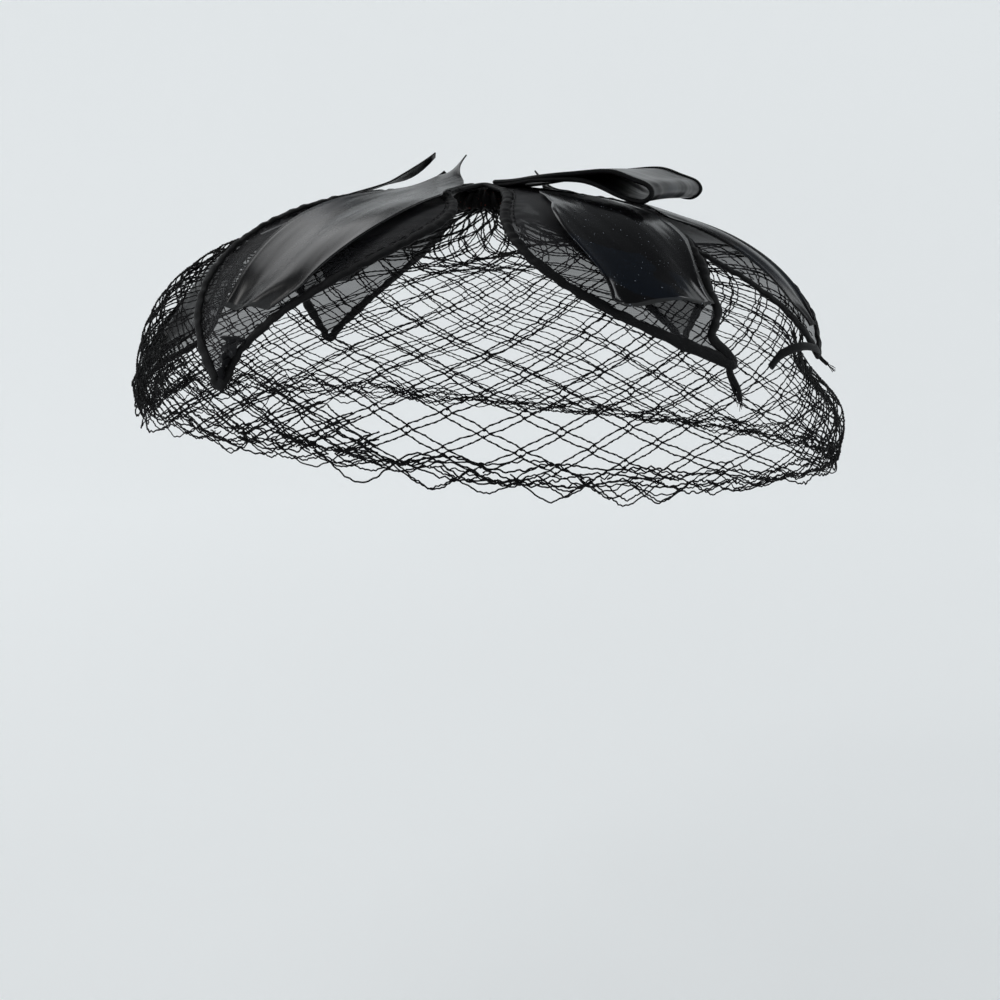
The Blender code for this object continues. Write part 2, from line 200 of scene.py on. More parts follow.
# Leaves
LEAF_CUT = (0.03, 0.97)
LEAF_POINTED = 0.8
LEAF_END_HALF_WIDTH = 0.0012
LEAF_STAND = 0.0100
STAND_POWER = 6
SPIKE_POWER = 13
BLUNT_POWER = 4
LEAF_MARGIN = 0.0030
LEAF_HELD = (0.12, 0.40)
LEAF_ASIDE_BY = 0.3
LEAF_THICKNESS = 0.0005
LEAF_ROWS = 64
LEAF_COLUMNS = 26
LEAF_CREASE = 0.0005
LEAF_RIM = 0.0009
LEAF_WAVE = 0.0012
LEAF_CLEAR = 0.0004
WIDEST_BLUNT = 0.0165
CREASED_FROM = (0.2, 0.5)
SPIKE_SHARE = 0.55
SPIKE_BY = 0.25
SPIKE_TWIST = 0.9
TWIST_BY = 0.14
SPIKE_END = 0.0004
SPIKE_CLEAR = 0.0020

# Ribbon loop
BOW_AZIMUTH = -30.0
BOW_LENGTH = 0.0720
BOW_HALF_WIDTH = 0.0200
BOW_ROOT_HALF_WIDTH = 0.0045
BOW_HEIGHT = 0.0100
BOW_SPREAD_BY = 0.55
BOW_TILT = 0.0016
BOW_ROWS = 130
BOW_COLUMNS = 22
BOW_DENT = 0.0005
BOW_THICKNESS = 0.0005

# The floor's height, where it starts to bend up, the bend's radius and the wall's top
STAGE_FLOOR = -0.265
STAGE_FLAT = 1.0
STAGE_BEND = 0.7
STAGE_TOP = 1.15
STAGE_TURNS = 96
STAGE_BEND_STEPS = 12

# Lights: name, place, what it points at, size, power and colour
LIGHTS = (
    ("back_left", (-0.9, 0.9, 1.7), (0.0, 0.2, -0.2), (1.5, 1.1), 10.0, (0.98, 0.99, 1.0)),
    ("left", (-1.5, -0.6, 1.0), (-0.2, 0.1, -0.1), (0.5, 1.0), 7.0, (1.0, 0.99, 0.97)),
    ("right", (1.6, 0.3, 1.0), (0.2, 0.1, -0.1), (0.5, 0.9), 5.0, (0.95, 0.98, 1.0)),
)

# One row per petal: azimuth and sideways bend in degrees, its length, then how far its middle rises and its
# clockwise and anticlockwise edges curl up, in metres
PETALS = (
    ("near_left", -130.0, -1.0, 0.134, 0.0005, 0.0035, 0.0000),
    ("near_right", -66.0, 16.0, 0.126, 0.0010, 0.0000, 0.0000),
    ("right", -14.0, -9.0, 0.126, 0.0000, -0.0030, 0.0015),
    ("far_right", 46.0, 0.0, 0.128, 0.0005, 0.0000, 0.0000),
    ("far_left", 126.0, 0.0, 0.128, 0.0005, 0.0000, 0.0000),
    ("left", 187.0, 2.0, 0.138, 0.0000, 0.0000, 0.0000),
)

# Outline of a petal on its clockwise and its anticlockwise side: half width in metres, how far out it is
# widest, and how pointed it is
EVEN_SIDE = (0.0280, 1.35, 1.15)
OUTLINES = {
    "near_left": ((0.0235, 2.00, 1.00), (0.0395, 1.09, 2.00)),
    "near_right": ((0.0292, 1.85, 0.85), (0.0300, 1.35, 1.30)),
    "right": ((0.0350, 1.35, 1.15), EVEN_SIDE),
}

# Where the anticlockwise edge swells or draws in: share of the length, its reach, and how far, in metres
EDGE_WAVES = {"near_right": ((0.86, 0.032, 0.0024), (0.935, 0.024, -0.0026))}

# One row per leaf: start and end as shares of its petal's length, half width, how far out it is widest, half
# width of its blunt end, how far its start and its end lie to the anticlockwise side, then how far its inner
# tip and its outer end stand up, as shares of LEAF_STAND
LEAVES = {
    "near_left": (0.01, 0.82, 0.0172, 1.35, 0.0100, 0.0118, 0.0046, 0.78, 0.05),
    "near_right": (0.30, 0.86, 0.0215, 1.00, 0.0165, 0.0125, -0.0036, 0.00, 0.10),
    "right": (0.30, 0.92, 0.0095, 1.10, 0.0022, -0.0120, -0.0100, 0.00, 0.06),
    "far_right": (0.12, 0.80, 0.0180, 1.20, 0.0028, 0.0, 0.0, 0.50, 0.10),
    "far_left": (0.12, 0.80, 0.0180, 1.20, 0.0028, 0.0, 0.0, 0.50, 0.10),
    "left": (0.05, 0.94, 0.0170, 1.20, 0.0130, 0.0, 0.0150, 0.80, 0.00),
}

# The ribbon loop's side view from its root, as shares of its length and height: along, height
BOW_SIDE = (
    (0.09, 0.00),
    (0.22, 0.08),
    (0.42, 0.15),
    (0.65, 0.14),
    (0.84, -0.42),
    (0.95, -0.60),
    (1.00, -0.38),
    (0.98, -0.10),
    (0.90, 0.10),
    (0.79, 0.34),
    (0.63, 0.37),
    (0.42, 0.24),
    (0.22, 0.16),
    (0.09, 0.09),
)

# Ends of ribbon past the petals' tips: the places each passes, from the tip, and its half width
FRAYED_TAILS = {
    "near_right": (
        (((0.0008, -0.0006, -0.0038), (0.0030, -0.0004, -0.0080), (0.0038, 0.0, -0.0118)), 0.0011),
        (((0.0002, 0.0004, -0.0034), (0.0014, 0.0006, -0.0066), (0.0022, 0.0006, -0.0090)), 0.0009),
    ),
    "right": ((((0.0012, 0.0, -0.0022), (0.0034, 0.0, -0.0042)), 0.0008),),
}
CURLED_TAIL = (
    (-0.0030, -0.0100, 0.0016),
    (-0.0090, -0.0180, 0.0026),
    (-0.0160, -0.0230, 0.0006),
    (-0.0200, -0.0250, -0.0034),
)
TAIL_THREADS = 11
TAIL_THREAD_RADIUS = 0.00011
CURL_HALF_WIDTH = 0.0014

# The crown's gathers from the top's middle over the side to the underside: reach and height
CROWN_PROFILE = (
    (0.0002, 0.0052),
    (0.0030, 0.0056),
    (0.0066, 0.0050),
    (0.0098, 0.0036),
    (0.0122, 0.0014),
    (0.0126, -0.0014),
    (0.0104, -0.0020),
    (0.0002, -0.0012),
)
CROWN_TURNS = 180
CROWN_RINGS = 44

UP = np.array((0.0, 0.0, 1.0))
draw = random.Random(17)


class Value:
    """A shader socket. Arithmetic on one that carries a number adds Math nodes."""

    def __init__(self, finish, socket):
        self.finish = finish
        self.socket = socket

    def math(self, operation, *operands):
        inputs = dict(enumerate(operands))
        return self.finish.node("ShaderNodeMath", {"operation": operation}, inputs)

    def __add__(self, other):
        return self.math("ADD", self, other)

    __radd__ = __add__

    def __mul__(self, other):
        return self.math("MULTIPLY", self, other)

    __rmul__ = __mul__

    def __sub__(self, other):
        return self.math("SUBTRACT", self, other)

    def __rsub__(self, other):
        return self.math("SUBTRACT", other, self)

    def above(self, limit):
        return self.math("GREATER_THAN", self, limit)


class Finish:
    """A material and the nodes that make it."""

    def __init__(self, name, colour, roughness, **constants):
        self.material = bpy.data.materials.new(name)
        self.material.use_nodes = True
        self.tree = self.material.node_tree
        self.shader = self.tree.nodes["Principled BSDF"]
        self.material.diffuse_color = (*colour, 1.0)
        self.set("Base Color", (*colour, 1.0))
        self.set("Roughness", roughness)
        for key, number in constants.items():
            self.set(key.replace("_", " "), number)

    def set(self, socket, content):
        self.plug(self.shader.inputs[socket], content)

    def plug(self, socket, content):
        if isinstance(content, Value):
            content = content.socket
        if isinstance(content, bpy.types.NodeSocket):
            self.tree.links.new(content, socket)
        else:
            socket.default_value = content

    def node(self, kind, settings=None, inputs=None, output=0):
        """Adds a node, its settings first and then its sockets, and gives one of its outputs."""
        made = self.tree.nodes.new(kind)
        for name, setting in (settings or {}).items():
            setattr(made, name, setting)
        for name, content in (inputs or {}).items():
            self.plug(made.inputs[name], content)
        return Value(self, made.outputs[output])

    def place(self):
        return self.node("ShaderNodeTexCoord", output="Object")

    def along(self):
        """Coordinates along and across a piece, in metres, from its mesh."""
        return self.node("ShaderNodeUVMap", {"uv_map": "Cloth"}, output="UV")

    def noise(self, vector, scale, detail=2.0, rough=0.5):
        inputs = {"Vector": vector, "Scale": scale, "Detail": detail, "Roughness": rough}
        return self.node("ShaderNodeTexNoise", None, inputs, "Fac")

    def stripes(self, vector, scale, direction, distortion=0.0):
        settings = {"wave_type": "BANDS", "bands_direction": direction}
        inputs = {"Vector": vector, "Scale": scale, "Distortion": distortion}
        return self.node("ShaderNodeTexWave", settings, inputs, "Fac")

    def mix(self, share, first, second):
        """A colour between the first, given or from a node, and the second."""
        if isinstance(first, tuple):
            first = (*first, 1.0)
        inputs = {"Factor": share, 6: first, 7: (*second, 1.0)}
        return self.node("ShaderNodeMix", {"data_type": "RGBA"}, inputs, 2)

    def colour(self, share, first, second):
        self.set("Base Color", self.mix(share, first, second))

    def bump(self, height, distance, strength=1.0):
        inputs = {"Height": height, "Distance": distance, "Strength": strength}
        self.set("Normal", self.node("ShaderNodeBump", None, inputs, "Normal"))


def thread_finish():
    """Black crepe thread: a fine twist and uneven dye."""
    finish = Finish("net_thread", (0.004, 0.004, 0.004), 0.70, Specular_IOR_Level=0.12)
    where = finish.place()
    shade = finish.noise(where, 260.0)
    finish.colour(shade, (0.001, 0.001, 0.001), (0.007, 0.007, 0.008))
    finish.set("Roughness", 0.6 + 0.25 * finish.noise(where, 900.0))
    finish.bump(finish.noise(where, 4200.0, 3.0), 0.00008)
    return finish.material


def organza_finish():
    """Sheer black organza: a crisp plain weave that lets light through between its threads."""
    finish = Finish("petal_organza", (0.006, 0.006, 0.007), 0.55, Specular_IOR_Level=0.22)
    cloth = finish.along()
    warp = finish.stripes(cloth, 560.0, "X")
    weft = finish.stripes(cloth, 560.0, "Y")
    thread = warp.math("MAXIMUM", warp, weft)
    cloud = finish.noise(cloth, 38.0)
    out = finish.node("ShaderNodeSeparateXYZ", None, {"Vector": cloth}, "X")
    settings = {"interpolation_type": "SMOOTHSTEP"}
    thinner = finish.node("ShaderNodeMapRange", settings, {"Value": out, 1: 0.055, 2: 0.105})
    finish.colour(cloud, (0.003, 0.003, 0.004), (0.010, 0.010, 0.012))
    finish.set("Alpha", 0.86 - 0.28 * thinner + 0.12 * thread + 0.10 * cloud)
    finish.set("Roughness", 0.48 + 0.2 * cloud)
    finish.bump(thread, 0.00006, 0.6)
    return finish.material


def binding_finish():
    """Folded organza ribbon that binds the petals: several layers deep, so nearly opaque."""
    finish = Finish("edge_binding", (0.003, 0.003, 0.004), 0.65, Specular_IOR_Level=0.12)
    cloth = finish.along()
    ribs = finish.stripes(cloth, 700.0, "X", 0.6)
    cross = finish.stripes(cloth, 700.0, "Y")
    shade = finish.noise(cloth, 120.0, 3.0)
    finish.colour(shade, (0.001, 0.001, 0.001), (0.006, 0.006, 0.007))
    finish.set("Roughness", 0.45 + 0.25 * shade)
    finish.bump(ribs + cross + shade, 0.00006, 0.6)
    return finish.material


def vinyl_finish(name, dust, dull, specular):
    """Patent vinyl: a wet gloss over soft creases, with lint and dust lying on it, and faint bluish patches
    of painted glint in its colour.
    """
    finish = Finish(name, (0.003, 0.003, 0.004), dull, Specular_IOR_Level=specular)
    cloth = finish.along()
    smear = finish.noise(cloth, 60.0, 4.0, 0.6)
    cells = {"Vector": cloth, "Scale": 900.0}
    specks = finish.node("ShaderNodeTexVoronoi", {"feature": "F1"}, cells, "Distance")
    patch = finish.noise(cloth, 90.0, 3.0)
    size = 0.30 * finish.noise(cloth, 310.0) - 0.075
    lying = (size - specks).above(0.0) * patch.above(dust)
    # Painted reflection: faint bluish patches mixed into the black base colour stand for blue glints of
    # light on the gloss.
    painted_blue_glints = finish.noise(cloth, 26.0, 3.0).above(0.60)
    black = finish.mix(smear, (0.001, 0.001, 0.001), (0.005, 0.005, 0.006))
    colour = finish.mix(0.35 * painted_blue_glints, black, (0.006, 0.012, 0.022))
    finish.colour(lying, colour, (0.30, 0.33, 0.38))
    finish.set("Roughness", dull + 0.12 * smear + 0.5 * lying)
    drawn = finish.node("ShaderNodeVectorMath", {"operation": "MULTIPLY"}, {0: cloth, 1: (16.0, 95.0, 1.0)})
    finish.bump(finish.noise(drawn, 1.0, 2.0, 0.4), 0.0016, 0.6)
    return finish.material


def backing_finish():
    """The sewn backing under the petals' roots: dark cloth with painted reddish-brown glints on its threads.
    """
    finish = Finish("crown_backing", (0.004, 0.004, 0.004), 0.8, Specular_IOR_Level=0.15)
    where = finish.place()
    # Painted highlights: scattered reddish-brown flecks in the base colour stand for glints of light on the
    # threads.
    painted_brown_glints = finish.noise(where, 900.0, 3.0).above(0.66)
    finish.colour(painted_brown_glints, (0.003, 0.003, 0.003), (0.060, 0.016, 0.012))
    finish.set("Roughness", 0.6 + 0.3 * finish.noise(where, 400.0))
    finish.bump(finish.noise(where, 1500.0, 3.0), 0.0003)
    return finish.material


def stage_finish(name, colour, roughness, glow, strength):
    finish = Finish(name, colour, roughness, Emission_Color=(*glow, 1.0), Emission_Strength=strength)
    where = finish.place()
    tone = finish.noise(where, 2.0)
    darker = tuple(part * 0.97 for part in colour)
    finish.colour(tone, darker, colour)
    return finish.material


FINISHES = {
    "net": thread_finish(),
    "organza": organza_finish(),
    "binding": binding_finish(),
    "vinyl": vinyl_finish("leaf_vinyl", 0.66, 0.21, 0.40),
    "dusty": vinyl_finish("leaf_vinyl_dusty", 0.46, 0.10, 0.34),
    "ribbon": vinyl_finish("loop_ribbon", 0.64, 0.24, 0.28),
    "stay": backing_finish(),
}


def smooth_step(low, high, value):
    share = np.clip((value - low) / (high - low), 0.0, 1.0)
    return share * share * (3.0 - 2.0 * share)


class Wander:
    """A smooth value that wanders round nought along a length, built from a few waves."""

    def __init__(self, size, *wavelengths):
        self.waves = []
        for length in wavelengths:
            height = size * draw.uniform(0.6, 1.2)
            self.waves.append((height, 2 * math.pi / length, draw.uniform(0, FULL_TURN)))

    def __call__(self, place):
        return sum(size * np.sin(turns * place + start) for size, turns, start in self.waves)


class Field:
    """A smooth value that wanders over the dome, the same after one turn round it."""

    def __init__(self, size, around, reach, waves=6):
        self.waves = []
        for _ in range(waves):
            turns = draw.choice((-1, 1)) * draw.randint(*around)
            height = size * draw.uniform(0.3, 0.8)
            down = 2 * math.pi / (reach * draw.uniform(0.7, 1.5))
            self.waves.append((height, turns, down, draw.uniform(0, FULL_TURN)))

    def __call__(self, azimuth, arc):
        waves = self.waves
        return sum(size * np.sin(turns * azimuth + down * arc + start) for size, turns, down, start in waves)


def dome_lengths():
    """Lengths from the crown down the dome's mean side curve, with the reach and drop there as shares."""
    angles = np.linspace(0.0, math.pi / 2, DOME_STEPS + 1)
    power = 2.0 / DOME_FULLNESS
    reach = np.sin(angles) ** power
    drop = 1.0 - np.maximum(np.cos(angles), 0.0) ** power
    strides = np.hypot(np.diff(reach) * VEIL_RADIUS, np.diff(drop) * VEIL_DEPTH)
    lengths = np.concatenate([[0.0], np.cumsum(strides)])
    lengths = np.append(lengths, lengths[-1] + BELOW_DOME)
    return lengths, np.append(reach, 1.0), np.append(drop, 1.0 + BELOW_DOME / VEIL_DEPTH)


DOME_ARC, DOME_REACH, DOME_DROP = dome_lengths()
FULL_ARC = DOME_ARC[-2]


def rim_drop(azimuth):
    sag = RIM_SAG * (1.0 - np.cos(2 * azimuth))
    return VEIL_DEPTH - RIM_RAISED + RIM_TILT * np.cos(azimuth) + sag


def rim_arc(azimuth):
    return np.interp(rim_drop(azimuth) / VEIL_DEPTH, DOME_DROP, DOME_ARC)


def dome_radius(azimuth, arc):
    radius = VEIL_RADIUS + VEIL_OVAL * np.cos(2 * azimuth) - VEIL_SHIFT * np.cos(azimuth)
    return radius * np.interp(arc, DOME_ARC, DOME_REACH)


def on_dome(azimuth, arc):
    """Points of the dome's outer face, one for each azimuth and length from the crown."""
    azimuth, arc = np.broadcast_arrays(np.asarray(azimuth, float), np.asarray(arc, float))
    radius = dome_radius(azimuth, arc)
    height = VEIL_WALL - VEIL_DEPTH * np.interp(arc, DOME_ARC, DOME_DROP)
    return np.stack([radius * np.cos(azimuth), radius * np.sin(azimuth), height], -1)


def unit(vectors):
    return vectors / np.maximum(np.linalg.norm(vectors, axis=-1, keepdims=True), 1e-12)


def dome_normal(azimuth, arc):
    arc = np.clip(arc, 2 * NORMAL_STEP, DOME_ARC[-1] - NORMAL_STEP)
    down = on_dome(azimuth, arc + NORMAL_STEP) - on_dome(azimuth, arc - NORMAL_STEP)
    sideways = on_dome(azimuth + NORMAL_TURN, arc) - on_dome(azimuth - NORMAL_TURN, arc)
    return unit(np.cross(down, sideways))


def above_dome(azimuth, arc, lift):
    return on_dome(azimuth, arc) + dome_normal(azimuth, arc) * np.asarray(lift)[..., None]


def turned(azimuth, middle):
    """Azimuth measured from a middle one, in degrees from -180 to 180."""
    return (np.degrees(azimuth) - middle + 180.0) % 360.0 - 180.0


def pinched(azimuth, arc):
    """(degrees from the pinch's middle, how closely the net is caught there)."""
    away = turned(azimuth, PINCH_AZIMUTH)
    return away, np.exp(-((away / PINCH_SPREAD) ** 2) - ((arc - PINCH_ARC) / PINCH_REACH) ** 2)


def net_lift(azimuth, arc):
    """How far the net stands off the dome: pressed in by petals, sagging from the crown between them."""
    share = arc / FULL_ARC
    pressed = np.zeros_like(np.asarray(azimuth, float))
    under = np.zeros_like(pressed)
    for name, middle, bend, *_ in PETALS:
        away = np.abs(turned(azimuth, middle + bend * np.minimum(share, 1.0) ** BEND_POWER)) / DIP_SPREAD
        close = 1.0 - smooth_step(0.0, 1.0, away)
        pressed = pressed + NET_AT_PETAL.get(name, -PETAL_DIP) * close
        under = np.maximum(under, close)
    waist = smooth_step(*DIP_STARTS, share) * (1.0 - smooth_step(*DIP_ENDS, share))
    under = under * smooth_step(*HELD_UP_FROM, arc)
    sags = smooth_step(*SAG_STARTS, arc) * (1.0 - smooth_step(*SAG_ENDS, arc))
    return pressed * waist - NET_SAG * (1.0 - under) * sags


def add_object(name, data):
    obj = bpy.data.objects.new(name, data)
    bpy.context.scene.collection.objects.link(obj)
    return obj


def add_mesh(name, points, faces, material):
    mesh = bpy.data.meshes.new(name)
    mesh.from_pydata(np.asarray(points).reshape(-1, 3).tolist(), [], faces)
    mesh.shade_smooth()
    mesh.materials.append(material)
    return add_object(name, mesh)


def add_piece(name, points, faces, slot, finish=None, cloth=None):
    """A mesh that rides on the hat. cloth gives each point's place along and across the cloth, in metres."""
    obj = add_mesh(name, points, faces, FINISHES[finish or slot])
    mesh = obj.data
    if cloth is not None:
        corners = np.empty(len(mesh.loops), np.int32)
        mesh.loops.foreach_get("vertex_index", corners)
        layer = mesh.uv_layers.new(name="Cloth")
        layer.data.foreach_set("uv", np.asarray(cloth, np.float32).reshape(-1, 2)[corners].ravel())
    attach(obj, "root")
    return obj


def grid_faces(rows, columns, offset=0, around=False, closed=False):
    """Quads of a grid of points, joined round its columns or from its last row to its first."""
    faces = []
    for i in range(rows if closed else rows - 1):
        after = (i + 1) % rows
        for j in range(columns if around else columns - 1):
            beside = (j + 1) % columns
            corners = (i * columns + j, after * columns + j, after * columns + beside, i * columns + beside)
            faces.append(tuple(offset + corner for corner in corners))
    return faces


def add_cloth(name, points, run, across, slot, finish=None):
    """A piece made of one grid of points. run and across are their places on the cloth."""
    faces = grid_faces(*points.shape[:2])
    return add_piece(name, points, faces, slot, finish, np.stack(np.broadcast_arrays(run, across), -1))


class Strands:
    """Many tubes gathered into one mesh."""

    def __init__(self):
        self.points = []
        self.faces = []
        self.cloth = []
        self.count = 0

    def add(self, path, outward, width, depth=None, sides=THREAD_SIDES, closed=False):
        """A tube along a path: outward is its upper side, width and depth are half of what it measures."""
        path = np.asarray(path, float)
        number = len(path)
        if closed:
            run = np.roll(path, -1, 0) - np.roll(path, 1, 0)
        else:
            run = np.gradient(path, axis=0)
        run = unit(run)
        aside = unit(np.cross(run, np.broadcast_to(outward, path.shape)))
        upper = np.cross(aside, run)
        width = np.broadcast_to(np.asarray(width, float), number)
        depth = width if depth is None else np.broadcast_to(np.asarray(depth, float), number)
        travelled = np.concatenate([[0.0], np.cumsum(np.linalg.norm(np.diff(path, axis=0), axis=1))])
        rings = []
        cloth = []
        for side in range(sides):
            angle = 2 * math.pi * side / sides
            sideways = aside * (width * math.cos(angle))[:, None]
            rings.append(path + sideways + upper * (depth * math.sin(angle))[:, None])
            cloth.append(np.stack([travelled, width * (1.0 + angle)], -1))
        start = self.count
        self.points.append(np.stack(rings, 1).reshape(-1, 3))
        self.cloth.append(np.stack(cloth, 1).reshape(-1, 2))
        self.faces += grid_faces(number, sides, start, around=True, closed=closed)
        if not closed:
            self.faces.append(tuple(range(start, start + sides)))
            self.faces.append(tuple(reversed(range(start + (number - 1) * sides, start + number * sides))))
        self.count += number * sides

    def knot(self, place, run, outward, length, radius):
        """A small lump where two threads cross."""
        aside = np.cross(outward, run)
        start = self.count
        self.points.append(np.array([
            place + run * length, place + aside * radius, place - run * length, place - aside * radius,
            place + outward * radius, place - outward * radius,
        ]))
        self.cloth.append(np.zeros((6, 2)))
        for a in range(4):
            b = (a + 1) % 4
            self.faces.append((start + a, start + b, start + 4))
            self.faces.append((start + b, start + a, start + 5))
        self.count += 6

    def piece(self, name, slot, finish=None):
        points, cloth = np.concatenate(self.points), np.concatenate(self.cloth)
        return add_piece(name, points, self.faces, slot, finish, cloth)


class Net:
    """A layer of the veil's net over part of the dome. Rows count half diamonds from its first length."""

    def __init__(self, pairs, side, start, lift, uneven=1.0):
        self.pairs = pairs
        self.pitch = 2 * math.pi / pairs
        self.lift = lift
        arcs = [start]
        while arcs[-1] < FULL_ARC:
            half_width = math.pi * VEIL_RADIUS * np.interp(arcs[-1], DOME_ARC, DOME_REACH) / pairs
            arcs.append(arcs[-1] + math.sqrt(max(side * side - half_width * half_width, LEAST_ROW**2)))
        self.arcs = np.array(arcs)
        self.rows = len(arcs) - 1
        self.waves = {}
        for name, (size, around, reach) in NET_WAVES.items():
            self.waves[name] = Field(size * uneven, around, reach)

    def at(self, azimuth, row):
        """(azimuth, length from the crown) of a place in the net, with the net's own unevenness."""
        arc = np.interp(row, np.arange(len(self.arcs)), self.arcs)
        radius = np.maximum(VEIL_RADIUS * np.interp(arc, DOME_ARC, DOME_REACH), LEAST_GATHER_RADIUS)
        gathered = np.exp(-((arc - GATHER_ARC) / GATHER_REACH) ** 2)
        drifts = (wave(azimuth, arc) for name, wave in self.waves.items() if name != "puff")
        aside, down, gather_aside, gather_down = drifts
        shifted = azimuth + (aside + gathered * gather_aside) / radius
        away, close = pinched(shifted, arc)
        shifted = shifted - np.radians(away) * close * PINCH_DRAW
        return shifted, arc + down + gathered * gather_down

    def surface(self, azimuth, arc):
        """Points of the net and its outward directions."""
        outward = dome_normal(azimuth, arc)
        _, close = pinched(azimuth, arc)
        puffed = self.waves["puff"](azimuth, arc) * smooth_step(*PUFF_FROM, arc)
        lift = self.lift + net_lift(azimuth, arc) + puffed
        return on_dome(azimuth, arc) + outward * (lift - PINCH_DEPTH * close)[:, None], outward

    def thread(self, turn, number, side, rows):
        """One thread of the family that turns one way, beside the middle of its pair."""
        return self.at((number + side * self.apart(rows) + turn * rows / 2) * self.pitch, rows)

    def apart(self, rows):
        """Half the distance between the threads of a pair, as a share of the pitch."""
        near = rows - np.round(rows)
        arc = np.interp(rows, np.arange(len(self.arcs)), self.arcs)
        opened = PAIR_AT_CROWN + (1.0 - PAIR_AT_CROWN) * smooth_step(*PAIR_OPENS, arc)
        return PAIR_SHARE * opened * (1.0 - CROSSING_PINCH * np.exp(-((near / CROSSING_REACH) ** 2)))

    def lay(self, strands, keep):
        """Adds the threads of both families where keep says, and their knots."""
        rows = np.arange(0.0, self.rows, THREAD_STEP)
        for turn in (-1, 1):
            for number in range(self.pairs):
                for side in (-1, 1):
                    azimuth, arc = self.thread(turn, number, side, rows)
                    points, outward = self.surface(azimuth, arc)
                    crinkle, shake = Wander(*CRINKLE), Wander(*SHAKE)
                    length = rows * NET_SIDE
                    aside = unit(np.cross(np.gradient(points, axis=0), outward))
                    points = points + aside * crinkle(length)[:, None] + outward * shake(length)[:, None]
                    radius = THREAD_RADIUS * (1.0 + THREAD_SWELL * np.sin(length * SWELL_TURNS + number))
                    inside = keep(azimuth, arc)
                    for first, last in runs(inside):
                        if last - first < SHORTEST_RUN:
                            continue
                        strands[turn].add(points[first:last], outward[first:last], radius[first:last])
        self.tie(strands[1], keep)

    def tie(self, strands, keep):
        level = np.arange(1.0, self.rows)
        apart = self.apart(level)
        for number in range(self.pairs):
            for side in (-1, 1):
                for other in (-1, 1):
                    rows = level + (other - side) * apart
                    azimuth, arc = self.at((number + side * apart + rows / 2) * self.pitch, rows)
                    points, outward = self.surface(azimuth, arc)
                    inside = keep(azimuth, arc)
                    sideways = unit(np.cross(UP, outward))
                    for place, out, run, kept in zip(points, outward, sideways, inside):
                        if kept:
                            length = KNOT_RADIUS * draw.uniform(1.1, 1.7)
                            strands.knot(place, run, out, length, KNOT_RADIUS * draw.uniform(0.75, 1.0))


def runs(inside):
    """(first, past last) of each unbroken stretch of true values."""
    edges = np.flatnonzero(np.diff(np.concatenate([[0], inside.astype(int), [0]])))
    return list(zip(edges[::2], edges[1::2]))


def make_veil():
    """The main layer of net, from under the crown to the rim."""
    strands = {-1: Strands(), 1: Strands()}
    net = Net(NET_PAIRS, NET_SIDE, NET_START, -VEIL_WALL / 2)
    net.lay(strands, lambda azimuth, arc: (arc > NET_START) & (arc < rim_arc(azimuth) + RIM_OVERHANG))
    falling = strands[-1].piece("net_threads_clockwise", "net")
    rising = strands[1].piece("net_threads_anticlockwise", "net")
    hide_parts("veil")
    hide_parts("veil")


def make_side_layers():
    """Further layers of net, gathered up at the left end over a petal and at the right end below one."""
    strands = Strands()
    both = {-1: strands, 1: strands}
    for middle, spread, above_rim, pairs, lift in SIDE_LAYERS:
        edge = Field(LAYER_EDGE * above_rim, LAYER_EDGE_WAVES, ROUND_ONLY)
        net = Net(pairs, LAYER_SIDE, LAYER_START, lift, LAYER_UNEVEN)

        def keep(azimuth, arc):
            away = np.abs(turned(azimuth, middle)) / spread
            rim = rim_arc(azimuth)
            top_edge = rim - above_rim * (1.0 - 0.7 * away**3) + edge(azimuth, 0.0)
            return (away < 1.0) & (arc > top_edge) & (arc < rim + RIM_OVERHANG)

        net.lay(both, keep)
    layers = strands.piece("net_side_layers", "net")
    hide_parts("veil")


def hem_path(azimuth, fall, inward):
    """A line round the rim, this far below it and inside it."""
    rim = on_dome(azimuth, rim_arc(azimuth))
    outward = np.stack([np.cos(azimuth), np.sin(azimuth), np.zeros_like(azimuth)], -1)
    return rim - outward * np.asarray(inward)[:, None] - UP * np.asarray(fall)[:, None], outward


def make_hem():
    """The net's edge, drawn into a loose cord round the rim, with cells that hang below it."""
    strands = Strands()
    azimuth = np.linspace(0.0, 2 * math.pi, HEM_POINTS, endpoint=False)
    left = np.maximum(-np.cos(azimuth), 0.0)
    for _ in range(HEM_THREADS):
        height, depth, crinkle = (Field(size, around, ROUND_ONLY) for size, around in HEM_WAVES)
        level = draw.uniform(*HEM_LEVEL) + HEM_AT_LEFT * left * draw.uniform(-1.2, 1.0)
        fall = level + height(azimuth, 0.0) * (1.0 + 0.9 * left) + crinkle(azimuth, 0.0)
        inward = draw.uniform(*HEM_INWARD) + depth(azimuth, 0.0)
        path, outward = hem_path(azimuth, fall, inward)
        strands.add(path, outward, THREAD_RADIUS * draw.uniform(0.85, 1.1), closed=True)
    cells_below(strands)
    hem = strands.piece("net_hem", "net")
    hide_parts("veil_hem")


